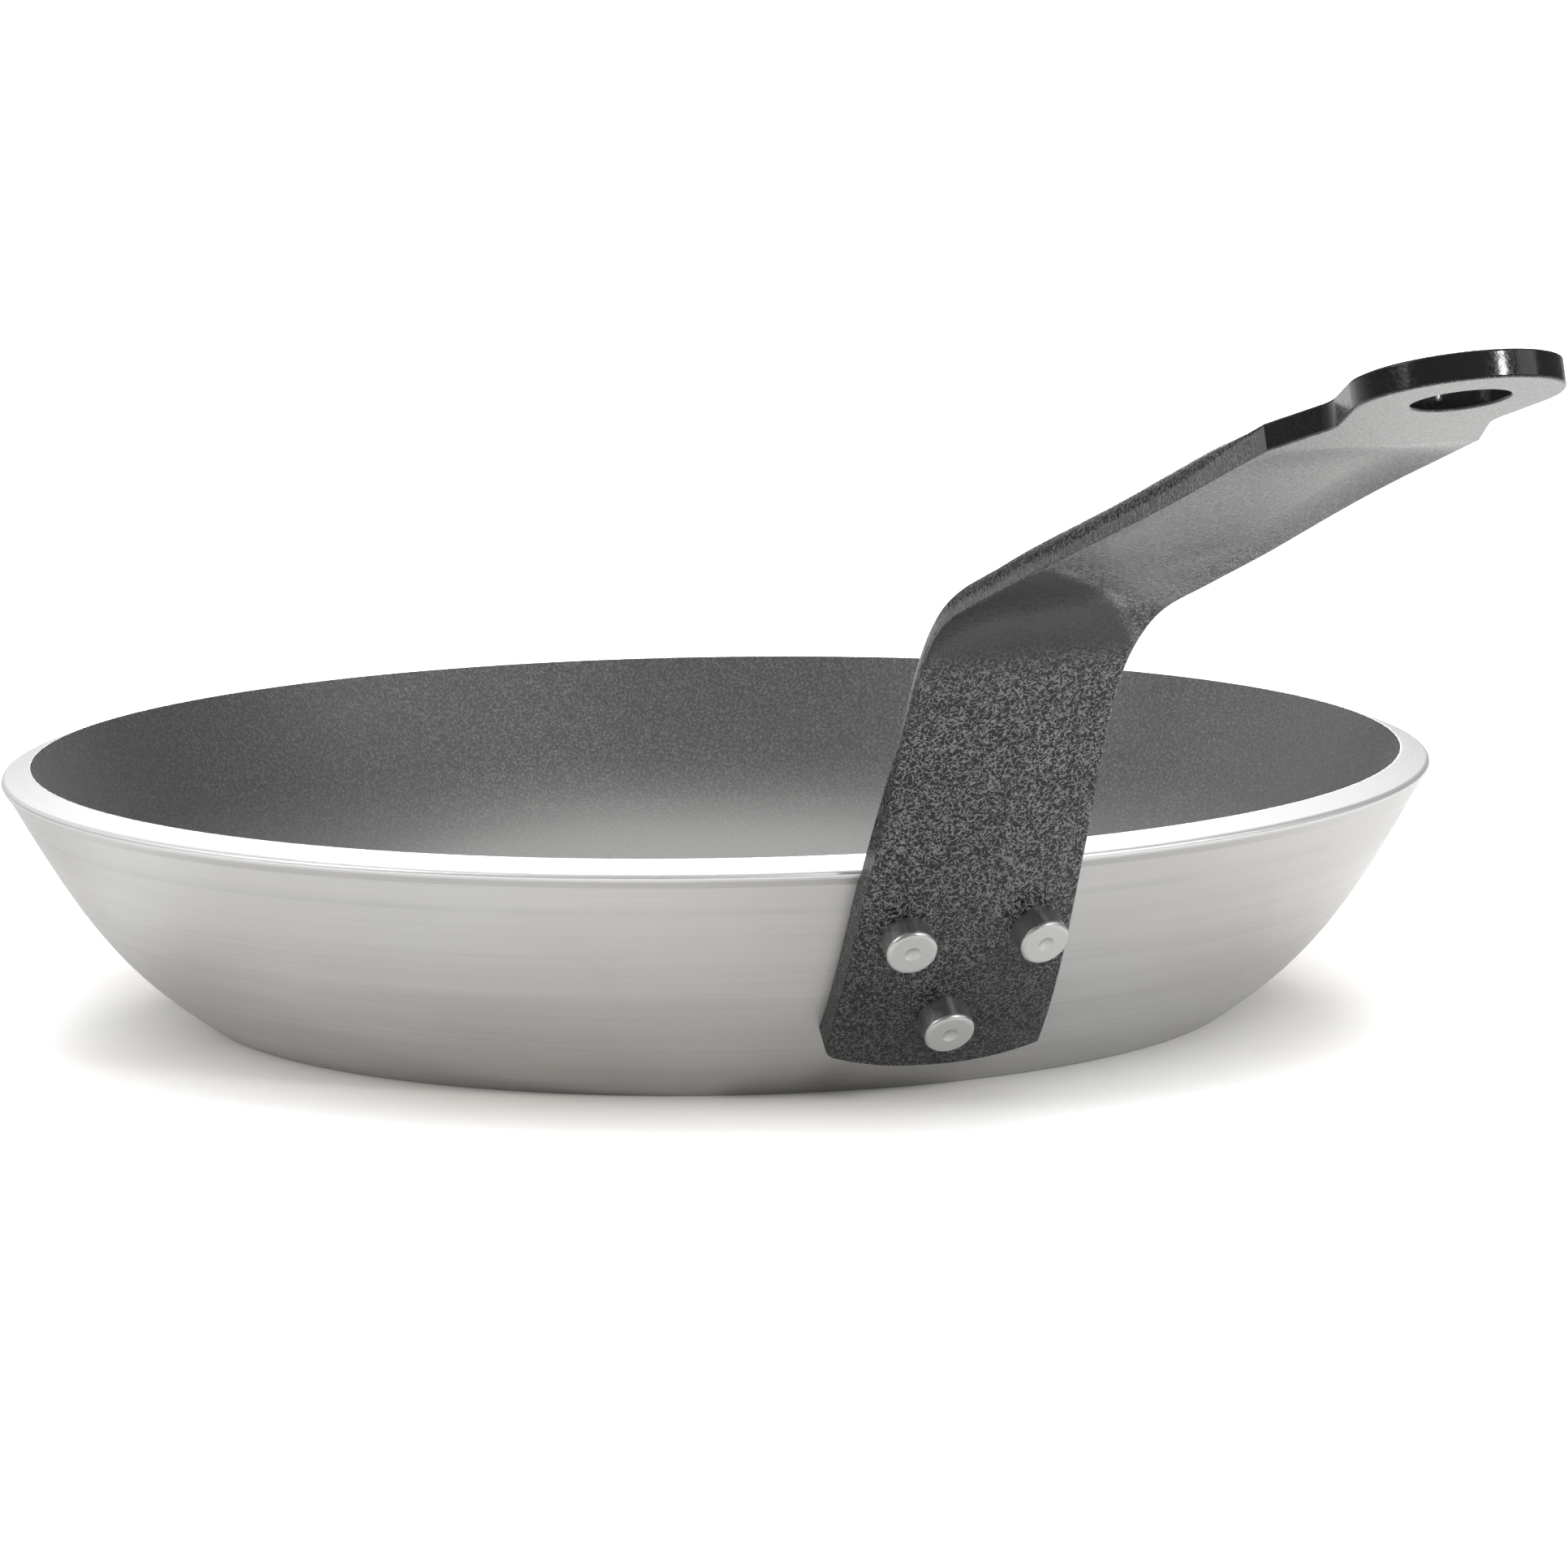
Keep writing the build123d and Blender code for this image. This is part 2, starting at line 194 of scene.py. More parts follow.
@dataclass
class Effects:
    """The surface effects that several finishes share, each built once as a node group."""

    line_roughness: float = 0.6
    cloud_detail: float = 3.0
    cloud_roughness: float = 0.55
    fleck_roughness: float = 0.5
    fleck_distortion: float = 0.6
    fleck_ridge: Span = (0.1, 0.04)
    fine_scale: float = 2.6
    fine_in_ridge: float = 0.05
    fine_in_height: float = 0.25
    height_span: Span = (0.3, 0.7)
    round_place: bpy.types.NodeTree = field(init=False)
    turned_lines: bpy.types.NodeTree = field(init=False)
    clouds: bpy.types.NodeTree = field(init=False)
    hammer: bpy.types.NodeTree = field(init=False)

    def __post_init__(self) -> None:
        """Builds the groups."""
        self.round_place = self._round_place()
        self.turned_lines = self._turned_lines()
        self.clouds = self._clouds()
        self.hammer = self._hammer()

    def _round_place(self) -> bpy.types.NodeTree:
        """A point's distance from the pan's axis, its height and its bearing.

        Returns:
            The node group.
        """
        outputs = {"Radius": "Float", "Height": "Float", "Bearing X": "Float", "Bearing Y": "Float"}
        tree = effect_tree("round_place", {"Vector": "Vector"}, outputs)
        graph = Graph(tree)
        start = graph.add("NodeGroupInput")
        place = graph.split(start.outputs["Vector"])
        square = graph.calc("MULTIPLY", place[1], place[1])
        square = graph.calc("MULTIPLY_ADD", place[0], place[0], square)
        radius = graph.calc("SQRT", square)
        graph.add("NodeGroupOutput", {
            "Radius": radius,
            "Height": place[2],
            "Bearing X": graph.calc("DIVIDE", place[0], radius),
            "Bearing Y": graph.calc("DIVIDE", place[1], radius),
        })
        return tree

    def _turned_lines(self) -> bpy.types.NodeTree:
        """Lines left by turning: noise drawn out round the axis.

        Returns:
            The node group.
        """
        inputs = {"Vector": "Vector", "Density": "Float", "Drift": "Float", "Detail": "Float"}
        tree = effect_tree("turned_lines", inputs, {"Value": "Float"})
        graph = Graph(tree)
        start = graph.add("NodeGroupInput")
        around = graph.group(self.round_place, {"Vector": start.outputs["Vector"]}).outputs
        density, drift = start.outputs["Density"], start.outputs["Drift"]
        point = graph.add("ShaderNodeCombineXYZ", {
            0: graph.calc("MULTIPLY", around["Radius"], density),
            1: graph.calc("MULTIPLY", around["Height"], density),
            2: graph.calc("MULTIPLY", around["Bearing X"], drift),
        })
        noise = graph.add("ShaderNodeTexNoise", {
            "Vector": point.outputs[0],
            "W": graph.calc("MULTIPLY", around["Bearing Y"], drift),
            "Scale": 1.0,
            "Detail": start.outputs["Detail"],
            "Roughness": self.line_roughness,
        }, noise_dimensions="4D")
        graph.add("NodeGroupOutput", {"Value": noise.outputs[0]})
        return tree

    def _clouds(self) -> bpy.types.NodeTree:
        """Soft uneven patches.

        Returns:
            The node group.
        """
        inputs = {"Vector": "Vector", "Size": "Float", "Contrast": "Float"}
        tree = effect_tree("clouds", inputs, {"Value": "Float"})
        graph = Graph(tree)
        start = graph.add("NodeGroupInput")
        noise = graph.add("ShaderNodeTexNoise", {
            "Vector": start.outputs["Vector"],
            "Scale": graph.calc("DIVIDE", 1.0, start.outputs["Size"]),
            "Detail": self.cloud_detail,
            "Roughness": self.cloud_roughness,
        })
        offset = graph.calc("SUBTRACT", noise.outputs[0], MIDDLE_OF_NOISE)
        value = graph.calc("MULTIPLY_ADD", offset, start.outputs["Contrast"], MIDDLE_OF_NOISE)
        graph.add("NodeGroupOutput", {"Value": value})
        return tree

    def _hammer(self) -> bpy.types.NodeTree:
        """The short winding flecks of a hammer-finish coat.

        Returns:
            The node group.
        """
        outputs = {"Fleck": "Float", "Height": "Float"}
        tree = effect_tree("hammer", {"Vector": "Vector", "Size": "Float"}, outputs)
        graph = Graph(tree)
        start = graph.add("NodeGroupInput")
        scale = graph.calc("DIVIDE", 1.0, start.outputs["Size"])
        flecks = graph.add("ShaderNodeTexNoise", {
            "Vector": start.outputs["Vector"],
            "Scale": scale,
            "Detail": 1.0,
            "Roughness": self.fleck_roughness,
            "Distortion": self.fleck_distortion,
        }).outputs[0]
        fine = graph.add("ShaderNodeTexNoise", {
            "Vector": start.outputs["Vector"],
            "Scale": graph.calc("MULTIPLY", scale, self.fine_scale),
            "Detail": 1.0,
        }).outputs[0]
        ridge = graph.calc("ABSOLUTE", graph.calc("SUBTRACT", flecks, MIDDLE_OF_NOISE))
        ridge = graph.calc("MULTIPLY_ADD", fine, self.fine_in_ridge, ridge)
        height = graph.remap(flecks, *self.height_span)
        graph.add("NodeGroupOutput", {
            "Fleck": graph.remap(ridge, *self.fleck_ridge),
            "Height": graph.calc("MULTIPLY_ADD", fine, self.fine_in_height, height),
        })
        return tree


class Finish:
    """A procedural material under construction."""

    def __init__(self, slot: Slot, effects: Effects) -> None:
        """Makes the material with its Principled shader.

        Args:
            slot: The record's slot that the finish is for.
            effects: The shared effects.
        """
        self.effects = effects
        self.material = bpy.data.materials.new(slot.value)
        self.material.use_nodes = True
        self.graph = Graph(self.material.node_tree)
        self.shader = self.graph.add("ShaderNodeBsdfPrincipled")
        self.graph.add("ShaderNodeOutputMaterial", {"Surface": self.shader.outputs[0]})
        self.place = self.graph.place()

    def set(self, **values: object) -> None:
        """Fills the shader's inputs, where an underscore in a name stands for a space.

        Args:
            values: A socket or a value for each input.
        """
        for name, value in values.items():
            target = self.shader.inputs[name.replace("_", " ")]
            if isinstance(value, Socket):
                self.graph.tree.links.new(value, target)
            else:
                target.default_value = value

    def bump(self, height: Socket, depth: float) -> None:
        """Roughens the surface with a fine relief.

        Args:
            height: The relief's height from 0 to 1.
            depth: The relief's depth in metres.
        """
        inputs = {"Height": height, "Distance": depth, "Strength": 1.0}
        self.set(Normal=self.graph.add("ShaderNodeBump", inputs).outputs[0])

    def height(self) -> Socket:
        """The shaded point's height above the underside of the base."""
        return self.graph.group(self.effects.round_place, {"Vector": self.place}).outputs["Height"]

    def clouds(self, size: float, contrast: float) -> Socket:
        """Soft uneven patches over the surface.

        Args:
            size: How wide a patch is, in metres.
            contrast: How strongly the patches differ.

        Returns:
            The patches' socket.
        """
        inputs = {"Vector": self.place, "Size": size, "Contrast": contrast}
        return self.graph.group(self.effects.clouds, inputs).outputs[0]

    def turned_lines(self, density: float, drift: float, detail: float) -> Socket:
        """Turning lines round the pan's axis.

        Args:
            density: How close together the lines lie.
            drift: How much they change round the pan.
            detail: How many finer layers of lines they have.

        Returns:
            The lines' socket.
        """
        inputs = {"Vector": self.place, "Density": density, "Drift": drift, "Detail": detail}
        return self.graph.group(self.effects.turned_lines, inputs).outputs[0]


@dataclass(frozen=True)
class TurnedAluminium:
    """Satin aluminium: fine turning lines, a rim land painted paler as a highlight, painted shade on the
    upper wall and a faint stained ring.
    """

    colour: Colour = (0.57, 0.57, 0.567)
    shade_colour: Colour = (0.485, 0.482, 0.476)
    # Painted highlight: the rim land is painted paler for the light it catches from above.
    rim_highlight_colour: Colour = (0.77, 0.77, 0.77)
    rim_span: Span = (0.0398, 0.0403)
    line_density: float = 2600.0
    line_drift: float = 1.6
    line_detail: float = 4.0
    line_share: float = 1.6
    line_depth: float = 2.0e-5
    band_density: float = 180.0
    band_drift: float = 0.8
    band_detail: float = 2.0
    band_span: Span = (0.3, 0.7)
    band_share: float = 0.4
    patch_size: float = 0.05
    patch_contrast: float = 1.4
    patch_span: Span = (0.2, 0.8)
    patch_share: float = 0.5
    # Painted shade: the upper wall is painted darker, standing in for the darker surroundings it mirrors.
    upper_shade_colour: Colour = (0.40, 0.40, 0.398)
    upper_shade_span: Span = (0.016, 0.036)
    upper_shade_share: float = 0.5
    stain_colour: Colour = (0.32, 0.32, 0.318)
    stain_height: float = 0.0342
    stain_width: float = 0.0009
    stain_share: float = 0.3
    stain_span: Span = (0.35, 0.65)
    roughness: float = 0.26
    line_roughness: float = 0.16
    rim_roughness: float = 0.12
    anisotropy: float = 0.55

    def make(self, effects: Effects) -> bpy.types.Material:
        """Builds the material.

        Args:
            effects: The shared effects.

        Returns:
            The material.
        """
        finish = Finish(Slot.TURNED, effects)
        graph = finish.graph
        height = finish.height()
        lines = finish.turned_lines(self.line_density, self.line_drift, self.line_detail)
        patches = finish.clouds(self.patch_size, self.patch_contrast)
        satin = self._shaded(finish, lines, patches)
        # Painted shade darkening the wall towards the rim.
        high = graph.remap(height, *self.upper_shade_span, 0, self.upper_shade_share)
        satin = graph.blend(high, satin, rgba(self.upper_shade_colour))
        from_stain = graph.calc("ABSOLUTE", graph.calc("SUBTRACT", height, self.stain_height))
        stain = graph.remap(from_stain, self.stain_width, 0, 0, self.stain_share)
        stain = graph.calc("MULTIPLY", stain, graph.remap(patches, *self.stain_span))
        satin = graph.blend(stain, satin, rgba(self.stain_colour))
        # Painted highlight on the rim land, which is also rougher.
        rim = graph.remap(height, *self.rim_span)
        roughness = graph.calc("MULTIPLY_ADD", lines, self.line_roughness, self.roughness)
        finish.set(
            Base_Color=graph.blend(rim, satin, rgba(self.rim_highlight_colour)),
            Metallic=1.0,
            Roughness=graph.calc("MULTIPLY_ADD", rim, self.rim_roughness, roughness),
            Anisotropic=self.anisotropy,
        )
        finish.bump(lines, self.line_depth)
        return finish.material

    def _shaded(self, finish: Finish, lines: Socket, patches: Socket) -> Socket:
        """The wall's colour, shaded by broad bands, soft patches and fine lines.

        Args:
            finish: The material under construction.
            lines: The fine turning lines.
            patches: The soft patches.

        Returns:
            The colour's socket.
        """
        graph = finish.graph
        bands = finish.turned_lines(self.band_density, self.band_drift, self.band_detail)
        shade = graph.remap(patches, *self.patch_span, 0, self.patch_share)
        shade = graph.calc("MULTIPLY_ADD", graph.remap(bands, *self.band_span), self.band_share, shade)
        lines = graph.calc("SUBTRACT", lines, MIDDLE_OF_NOISE)
        shade = graph.calc("MULTIPLY_ADD", lines, self.line_share, shade)
        return graph.blend(shade, rgba(self.colour), rgba(self.shade_colour))


@dataclass(frozen=True)
class NonStick:
    """Dark grey coating with a fine grain, painted paler towards the well's floor as a sheen."""

    colour: Colour = (0.10, 0.099, 0.097)
    fleck_colour: Colour = (0.22, 0.218, 0.213)
    fleck_span: Span = (0.35, 0.85)
    # Painted sheen: the coat is painted paler low in the well for the gloss it catches there.
    floor_colour: Colour = (0.3, 0.298, 0.292)
    floor_sheen_span: Span = (0.028, 0.011)
    floor_sheen_share: float = 0.5
    grain_size: float = 0.00045
    grain_contrast: float = 1.6
    grain_span: Span = (0.1, 0.9)
    grain_depth: float = 1.5e-5
    patch_size: float = 0.04
    patch_contrast: float = 1.2
    patch_span: Span = (0.2, 0.9)
    patch_least: float = 0.6
    roughness: Span = (0.32, 0.44)
    metallic: float = 0.5
    specular: float = 0.75

    def make(self, effects: Effects) -> bpy.types.Material:
        """Builds the material.

        Args:
            effects: The shared effects.

        Returns:
            The material.
        """
        finish = Finish(Slot.NONSTICK, effects)
        graph = finish.graph
        grain = finish.clouds(self.grain_size, self.grain_contrast)
        patches = finish.clouds(self.patch_size, self.patch_contrast)
        strength = graph.remap(patches, *self.patch_span, self.patch_least, 1)
        fleck = graph.calc("MULTIPLY", graph.remap(grain, *self.fleck_span), strength)
        coated = graph.blend(fleck, rgba(self.colour), rgba(self.fleck_colour))
        # Painted sheen towards the well's floor.
        floor = graph.remap(finish.height(), *self.floor_sheen_span, 0, self.floor_sheen_share)
        finish.set(
            Base_Color=graph.blend(floor, coated, rgba(self.floor_colour)),
            Metallic=self.metallic,
            Roughness=graph.remap(grain, *self.grain_span, *self.roughness),
            Specular_IOR_Level=self.specular,
        )
        finish.bump(grain, self.grain_depth)
        return finish.material


@dataclass(frozen=True)
class HammerCoat:
    """Charcoal hammer-finish coat: light winding flecks on a dark ground, and plain dark cut edges."""

    ground_colour: Colour = (0.006, 0.006, 0.0065)
    fleck_colour: Colour = (0.25, 0.25, 0.255)
    fleck_size: float = 0.00078
    fleck_depth: float = 2.2e-5
    patch_size: float = 0.012
    patch_contrast: float = 1.2
    patch_span: Span = (0.1, 0.9)
    patch_least: float = 0.75
    # Painted shade: fewer flecks at the foot leave it darker, as the shade near the base.
    foot_shade_span: Span = (0.012, 0.045)
    foot_shade_least: float = 0.45
    across: Direction = (0.0, 1.0, 0.0)
    # Painted shade: fewer flecks on the long sides leave them darker than the lit faces.
    flank_shade_span: Span = (0.35, 0.75)
    flank_shade_least: float = 0.5
    strip_normal: Direction = (-0.299, 0.0, 0.954)
    shoulder: float = 0.268
    cut_fade: float = 0.0015
    cut_span: Span = (0.75, 0.35)
    cut_colour: Colour = (0.012, 0.012, 0.012)
    cut_flatness: float = 0.8
    bend_outward: Direction = (0.8, 0.0, -0.6)
    outer_span: Span = (0.0, 0.3)
    # Painted shade in the concave bend, where fewer flecks leave the coat darker.
    bend_shade_slant: float = 1.29
    bend_shade_end: float = 0.170
    bend_shade_span: Span = (0.071, 0.080)
    bend_shade_least: float = 0.08
    # A pale streak along the edge of the bend's painted shade: partly press marks, partly a painted
    # highlight along the crease.
    press_mark_and_highlight_colour: Colour = (0.42, 0.42, 0.42)
    press_mark_and_highlight_width: float = 0.0024
    press_mark_and_highlight_span: Span = (0.3, 0.7)
    press_mark_and_highlight_share: float = 0.3
    # Painted light: the grip's underside is painted paler, standing in for light from the floor.
    underside_light_colour: Colour = (0.24, 0.24, 0.245)
    under_span: Span = (-0.6, -0.9)
    underside_light_span: Span = (0.165, 0.24)
    underside_light_share: float = 0.6
    roughness: Span = (0.24, 0.34)
    smoothing: float = 0.1
    specular: float = 0.33

    def make(self, effects: Effects) -> bpy.types.Material:
        """Builds the material.

        Args:
            effects: The shared effects.

        Returns:
            The material.
        """
        finish = Finish(Slot.HAMMERED, effects)
        graph = finish.graph
        hammer = graph.group(effects.hammer, {"Vector": finish.place, "Size": self.fleck_size}).outputs
        patches = finish.clouds(self.patch_size, self.patch_contrast)
        bend_shade, press_mark_and_highlight = self._bend_shade_and_streak(finish)
        fleck = graph.calc("MULTIPLY", hammer["Fleck"], self._fleck_strength(finish, patches, bend_shade))
        painted = graph.blend(fleck, rgba(self.ground_colour), rgba(self.fleck_colour))
        # Pale streak at the edge of the bend's shade: press marks and a painted highlight.
        mark_and_highlight = graph.remap(patches, *self.press_mark_and_highlight_span, 0, self.press_mark_and_highlight_share)
        mark_and_highlight = graph.calc("MULTIPLY", press_mark_and_highlight, mark_and_highlight)
        painted = graph.blend(mark_and_highlight, painted, rgba(self.press_mark_and_highlight_colour))
        # Painted floor light on the grip's underside.
        painted = graph.blend(self._lit_underside(finish), painted, rgba(self.underside_light_colour))
        cut = self._cut_side(finish)
        roughness = graph.remap(hammer["Fleck"], 0, 1, *self.roughness)
        smoother = graph.calc("MULTIPLY", graph.calc("MAXIMUM", cut, bend_shade), self.smoothing)
        finish.set(
            Base_Color=graph.blend(cut, painted, rgba(self.cut_colour)),
            Roughness=graph.calc("SUBTRACT", roughness, smoother),
            Specular_IOR_Level=self.specular,
        )
        relief = graph.calc("SUBTRACT", 1.0, graph.calc("MULTIPLY", cut, self.cut_flatness))
        finish.bump(graph.calc("MULTIPLY", hammer["Height"], relief), self.fleck_depth)
        return finish.material

    def _fleck_strength(self, finish: Finish, patches: Socket, bend_shade: Socket) -> Socket:
        """How strongly the flecks show: less in patches, and fewer in the concave bend, at the foot and on
        the long sides, where their fading paints shade.

        Args:
            finish: The material under construction.
            patches: The soft patches.
            bend_shade: The hollow's mask.

        Returns:
            The strength's socket, from 0 to 1.
        """
        graph = finish.graph
        height = graph.split(finish.place)[2]
        flank_shade = graph.remap(graph.calc("ABSOLUTE", graph.facing(self.across)), *self.flank_shade_span)
        strength = graph.remap(patches, *self.patch_span, self.patch_least, 1)
        # Painted shade: the flecks fade in the concave bend, at the foot and on the long sides, which
        # darkens them.
        for share in (
            graph.remap(bend_shade, 0, 1, 1, self.bend_shade_least),
            graph.remap(height, *self.foot_shade_span, self.foot_shade_least, 1),
            graph.remap(flank_shade, 0, 1, 1, self.flank_shade_least),
        ):
            strength = graph.calc("MULTIPLY", strength, share)
        return strength

    def _bend_shade_and_streak(self, finish: Finish) -> tuple[Socket, Socket]:
        """Where the concave bend is painted darker as shade, and the pale streak along that shaded area's
        edge.

        Args:
            finish: The material under construction.

        Returns:
            The shade's mask and the streak's mask.
        """
        graph = finish.graph
        place = graph.split(finish.place)
        # The painted shade covers the outward face of the bend up to a slanted line.
        slanted = graph.calc("MULTIPLY_ADD", place[1], self.bend_shade_slant, place[0])
        along = graph.calc("SUBTRACT", self.bend_shade_end, slanted)
        outer = graph.remap(graph.facing(self.bend_outward), *self.outer_span)
        outer = graph.calc("MULTIPLY", graph.remap(place[2], *self.bend_shade_span), outer)
        inside = graph.remap(along, -self.press_mark_and_highlight_width, 2 * self.press_mark_and_highlight_width)
        near_line = graph.remap(graph.calc("ABSOLUTE", along), self.press_mark_and_highlight_width, 0)
        return graph.calc("MULTIPLY", inside, outer), graph.calc("MULTIPLY", near_line, outer)

    def _cut_side(self, finish: Finish) -> Socket:
        """Where the strip was cut after it was pressed: its sides past the shoulder.

        Args:
            finish: The material under construction.

        Returns:
            A mask's socket.
        """
        graph = finish.graph
        side = graph.remap(graph.calc("ABSOLUTE", graph.facing(self.strip_normal)), *self.cut_span)
        along = graph.split(finish.place)[0]
        past = graph.remap(along, self.shoulder - self.cut_fade, self.shoulder + self.cut_fade)
        return graph.calc("MULTIPLY", side, past)

    def _lit_underside(self, finish: Finish) -> Socket:
        """The grip's underside, painted paler toward the hanging end for the light it gets from the white
        floor.

        Args:
            finish: The material under construction.

        Returns:
            A mask's socket.
        """
        graph = finish.graph
        under = graph.remap(graph.facing(self.strip_normal), *self.under_span)
        along = graph.split(finish.place)[0]
        return graph.calc("MULTIPLY", under, graph.remap(along, *self.underside_light_span, 0, self.underside_light_share))


@dataclass(frozen=True)
class RivetAluminium:
    """Bright plain aluminium of the rivets."""

    colour: Colour = (0.46, 0.46, 0.454)
    shade_colour: Colour = (0.3, 0.3, 0.3)
    tint: float = 0.88
    grain_tint: float = 0.14
    grain_size: float = 0.0008
    grain_contrast: float = 1.5
    grain_span: Span = (0.1, 0.9)
    grain_depth: float = 2.5e-5
    roughness: Span = (0.3, 0.45)

    def make(self, effects: Effects) -> bpy.types.Material:
        """Builds the material.

        Args:
            effects: The shared effects.

        Returns:
            The material.
        """
        finish = Finish(Slot.RIVET, effects)
        graph = finish.graph
        grain = finish.clouds(self.grain_size, self.grain_contrast)
        tint = graph.calc("MULTIPLY_ADD", grain, self.grain_tint, self.tint)
        finish.set(
            Base_Color=graph.blend(tint, rgba(self.shade_colour), rgba(self.colour)),
            Metallic=1.0,
            Roughness=graph.remap(grain, *self.grain_span, *self.roughness),
        )
        finish.bump(grain, self.grain_depth)
        return finish.material


def dress(node: Node, material: bpy.types.Material) -> bpy.types.Object:
    """Gives one of the part's solids its finish.

    Args:
        node: The solid.
        material: Its finish.

    Returns:
        The solid's object.
    """
    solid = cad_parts[node.value]
    solid.data.materials.clear()
    solid.data.materials.append(material)
    return solid


@dataclass
class PanBody:
    """The turned body and the coat in its well."""

    aluminium: TurnedAluminium = TurnedAluminium()
    coat: NonStick = NonStick()

    def build(self, effects: Effects) -> list[bpy.types.Object]:
        """Dresses the body and its coat.

        Args:
            effects: The shared effects.

        Returns:
            The pieces.
        """
        return [
            dress(Node.BODY, self.aluminium.make(effects)),
            dress(Node.COATING, self.coat.make(effects)),
        ]


@dataclass
class StripHandle:
    """The strip handle and its rivets."""

    coat: HammerCoat = HammerCoat()
    aluminium: RivetAluminium = RivetAluminium()

    def build(self, effects: Effects) -> list[bpy.types.Object]:
        """Dresses the strip and the three rivets.

        Args:
            effects: The shared effects.

        Returns:
            The pieces.
        """
        bright = self.aluminium.make(effects)
        pieces = [dress(Node.HANDLE, self.coat.make(effects))]
        for rivet in (Node.RIVET_LEFT, Node.RIVET_RIGHT, Node.RIVET_LOWER):
            pieces.append(dress(rivet, bright))
        return pieces


@dataclass(frozen=True)
class Lamp:
    """A square soft light that is aimed at the pan."""

    name: str
    place: tuple[float, float, float]
    width: float
    power: float
    aim: tuple[float, float, float] = (0.03, 0.0, 0.03)

    def build(self) -> None:
        """Adds the light."""
        light = bpy.data.lights.new(self.name, "AREA")
        light.shape = "SQUARE"
        light.size = self.width
        light.energy = self.power
        lamp = bpy.data.objects.new(self.name, light)
        lamp.location = self.place
        lamp.rotation_euler = (Vector(self.aim) - Vector(self.place)).to_track_quat("-Z", "Y").to_euler()
        bpy.context.scene.collection.objects.link(lamp)


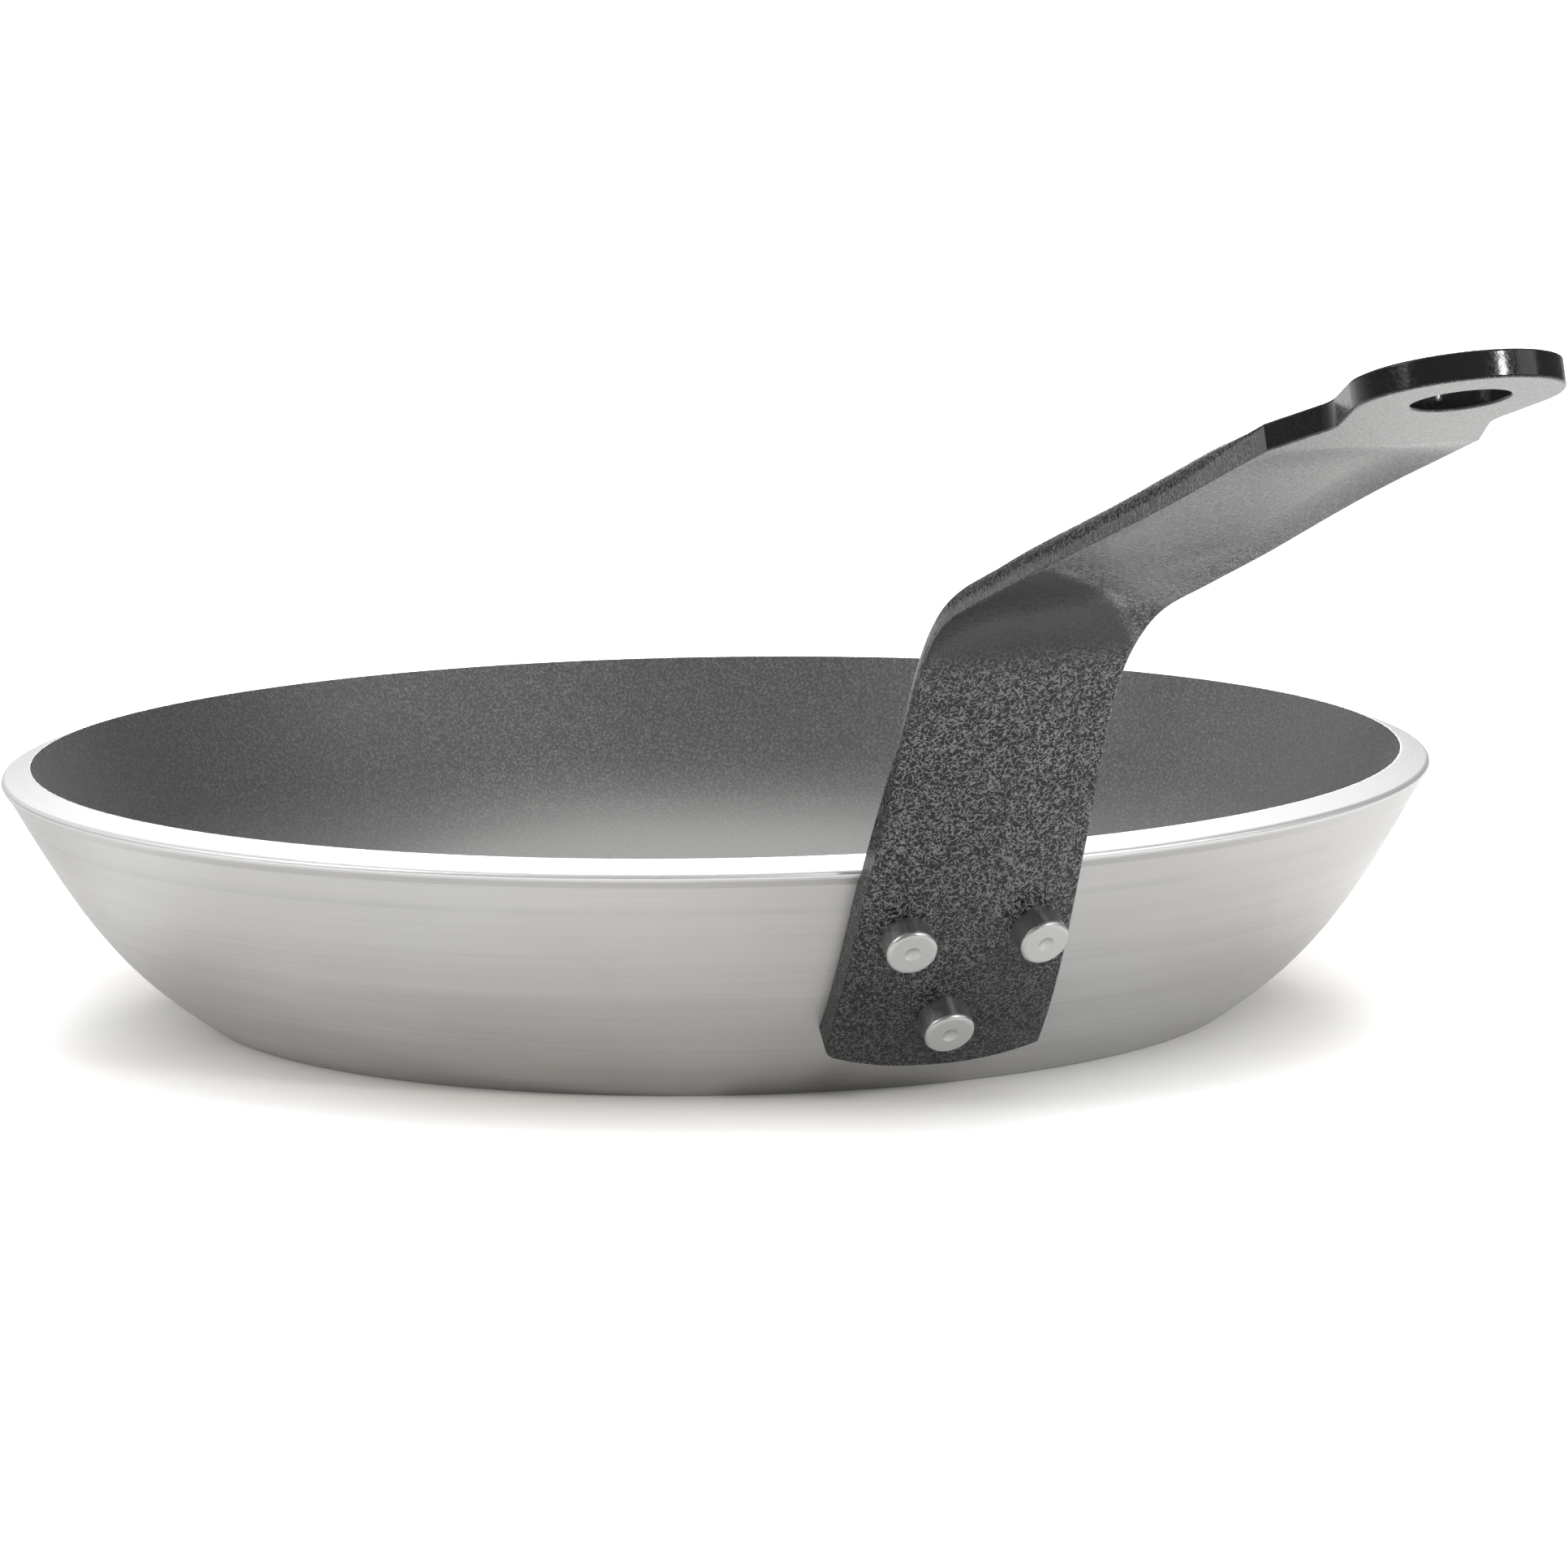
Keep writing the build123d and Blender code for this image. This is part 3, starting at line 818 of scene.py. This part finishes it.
@dataclass
class Studio:
    """A pale floor, soft lamps and a plain surrounding light.

    In gloss the floor is pale near the pan and dims outward, apart from a dark sector, and the backdrop
    is white in one sector of its own.
    """

    floor_radius: float = 9.0
    floor_sides: int = 96
    floor_roughness: float = 0.9
    floor_colour: Colour = (0.9, 0.893, 0.88)
    warm_colour: Colour = (0.82, 0.78, 0.72)
    warm_span: Span = (0.1, 0.2)
    patch_scale: float = 9.0
    patch_detail: float = 5.0
    patch_span: Span = (0.4, 0.7)
    near_lift: Span = (0.04, 0.64)
    near_span: Span = (0.08, 0.14)
    mirror_fade: Span = (0.2, 0.5)
    mirror_levels: Span = (0.68, 0.3)
    far_lift: float = 0.8
    far_span: Span = (0.15, 0.6)
    dark_bearing: float = 208.0
    dark_spread: Span = (0.55, 0.85)
    backdrop_bearing: float = 190.0
    backdrop_spread: Span = (0.35, 0.65)
    backdrop_rise: Span = (0.12, 0.3)
    world_strength: float = 0.45
    horizon_colour: Colour = (0.32, 0.32, 0.33)
    zenith_colour: Colour = (0.95, 0.95, 0.95)
    sky_span: Span = (0.05, 0.8)
    lamps: tuple[Lamp, ...] = (
        Lamp("overhead_light", (-0.2, 0.1, 1.5), 1.4, 12.0),
        Lamp("left_light", (0.2, -1.6, 0.9), 0.8, 9.0),
        Lamp("right_light", (1.0, 1.4, 0.9), 0.8, 4.0),
        Lamp("end_light", (1.59, 0.71, 0.77), 0.2, 9.0),
        Lamp("back_light", (-1.42, 0.5, 0.62), 0.5, 12.0),
    )

    def build(self) -> None:
        """Adds the floor, the lamps and the surrounding light."""
        self._floor()
        self._world()
        for lamp in self.lamps:
            lamp.build()

    def _floor(self) -> None:
        """Adds the floor that the pan stands on."""
        bpy.ops.object.select_all(action="DESELECT")
        bpy.ops.mesh.primitive_circle_add(
            vertices=self.floor_sides, radius=self.floor_radius, fill_type="NGON"
        )
        floor = bpy.context.object
        floor.name = "floor"
        floor.data.materials.append(self._floor_material())

    def _floor_material(self) -> bpy.types.Material:
        """Builds the floor's material: near white, with warmer, darker patches close to the pan.

        Returns:
            The material.
        """
        material = bpy.data.materials.new("floor")
        material.use_nodes = True
        graph = Graph(material.node_tree)
        place = graph.place()
        away = graph.add("ShaderNodeVectorMath", {0: place}, operation="LENGTH").outputs["Value"]
        noise = {"Vector": place, "Scale": self.patch_scale, "Detail": self.patch_detail}
        patches = graph.add("ShaderNodeTexNoise", noise).outputs[0]
        warm_near_pan = graph.remap(patches, *self.patch_span)
        warm_near_pan = graph.calc("MULTIPLY", warm_near_pan, graph.remap(away, *self.warm_span, 1, 0))
        shader = graph.add("ShaderNodeBsdfPrincipled", {
            "Base Color": graph.blend(warm_near_pan, rgba(self.floor_colour), rgba(self.warm_colour)),
            "Roughness": self.floor_roughness,
            "Emission Color": rgba(WHITE),
            "Emission Strength": self._floor_lift(graph, place, away),
        })
        graph.add("ShaderNodeOutputMaterial", {"Surface": shader.outputs[0]})
        return material

    def _floor_lift(self, graph: Graph, place: Socket, away: Socket) -> Socket:
        """How much white the camera and the glossy pieces see in the floor.

        Args:
            graph: The floor's graph.
            place: Where the shaded point lies.
            away: Its distance from the pan's axis.

        Returns:
            The strength's socket.
        """
        rays = graph.add("ShaderNodeLightPath").outputs
        outward = graph.add("ShaderNodeVectorMath", {0: place}, operation="NORMALIZE").outputs["Vector"]
        dark = self._sector(graph, outward, self.dark_bearing, self.dark_spread)
        mirrored = graph.calc("MULTIPLY", graph.mirror_ray(rays), graph.calc("SUBTRACT", 1.0, dark))
        fading = graph.remap(away, *self.mirror_fade, *self.mirror_levels)
        mirrored = graph.calc("MULTIPLY", mirrored, fading)
        seen = graph.calc("MAXIMUM", rays["Is Camera Ray"], mirrored)
        near = graph.calc("MULTIPLY", graph.remap(away, *self.near_span, *self.near_lift), seen)
        far = graph.remap(away, *self.far_span, 0, self.far_lift)
        return graph.calc("ADD", near, graph.calc("MULTIPLY", far, rays["Is Camera Ray"]))

    def _sector(self, graph: Graph, direction: Socket, bearing: float, spread: Span) -> Socket:
        """A mask of the directions near one bearing.

        Args:
            graph: The graph to add to.
            direction: The direction's socket.
            bearing: The sector's middle in degrees from +X.
            spread: The cosines from the middle where the mask starts and is full.

        Returns:
            The mask's socket.
        """
        toward = (math.cos(math.radians(bearing)), math.sin(math.radians(bearing)), 0.0)
        return graph.remap(graph.dot(direction, toward), *spread)

    def _world(self) -> None:
        """Adds the surrounding light: pale overhead, greyer at the horizon, white to the camera."""
        world = bpy.data.worlds.new("studio")
        world.use_nodes = True
        bpy.context.scene.world = world
        graph = Graph(world.node_tree)
        direction = graph.add("ShaderNodeTexCoord").outputs["Generated"]
        height = graph.split(direction)[2]
        rising = graph.remap(height, *self.sky_span)
        sky = graph.blend(rising, rgba(self.horizon_colour), rgba(self.zenith_colour))
        lit = graph.add("ShaderNodeBackground", {"Color": sky, "Strength": self.world_strength})
        white = graph.add("ShaderNodeBackground", {"Color": rgba(WHITE), "Strength": 1.0})
        rays = graph.add("ShaderNodeLightPath").outputs
        behind = self._sector(graph, direction, self.backdrop_bearing, self.backdrop_spread)
        behind = graph.calc("MULTIPLY", behind, graph.remap(height, *self.backdrop_rise))
        mirrored = graph.calc("MULTIPLY", graph.mirror_ray(rays), behind)
        shown = graph.calc("MAXIMUM", rays["Is Camera Ray"], mirrored)
        mixed = graph.add("ShaderNodeMixShader", {0: shown, 1: lit.outputs[0], 2: white.outputs[0]})
        graph.add("ShaderNodeOutputWorld", {"Surface": mixed.outputs[0]})


@dataclass
class Viewpoint:
    """The photograph's camera."""

    distance: float = 1.1871
    height: float = 0.2182
    bearing: float = 71.25
    yaw: float = 0.552
    pitch: float = 8.717
    roll: float = -0.816
    lens: float = 163.39
    sensor_width: float = 36.0

    def build(self) -> None:
        """Adds the camera and makes it the scene's."""
        yaw, pitch, roll = (math.radians(angle) for angle in (self.yaw, self.pitch, self.roll))
        ahead = Vector((math.sin(yaw) * math.cos(pitch), math.cos(yaw) * math.cos(pitch), -math.sin(pitch)))
        level = Vector((math.cos(yaw), -math.sin(yaw), 0))
        upright = level.cross(ahead)
        right = level * math.cos(roll) + upright * math.sin(roll)
        up = upright * math.cos(roll) - level * math.sin(roll)
        axes = Matrix((right, up, -ahead)).transposed().to_4x4()
        bearing = Matrix.Rotation(math.radians(self.bearing), 4, "Z")
        data = bpy.data.cameras.new("camera")
        data.lens = self.lens
        data.sensor_width = self.sensor_width
        camera = bpy.data.objects.new("camera", data)
        camera.matrix_world = bearing @ Matrix.Translation((0, -self.distance, self.height)) @ axes
        bpy.context.scene.collection.objects.link(camera)
        bpy.context.scene.camera = camera


def main() -> None:
    """Builds the pan's looks, the studio and the camera."""
    logging.basicConfig(level=logging.INFO, format="%(name)s: %(message)s")
    bpy.context.scene.view_settings.view_transform = "Standard"
    effects = Effects()
    for assembly in (PanBody(), StripHandle()):
        for piece in assembly.build(effects):
            LOG.info("%s: %s has %d faces", type(assembly).__name__, piece.name, len(piece.data.polygons))
    Studio().build()
    Viewpoint().build()
    bpy.context.view_layer.update()


if __name__ == "__main__":
    main()
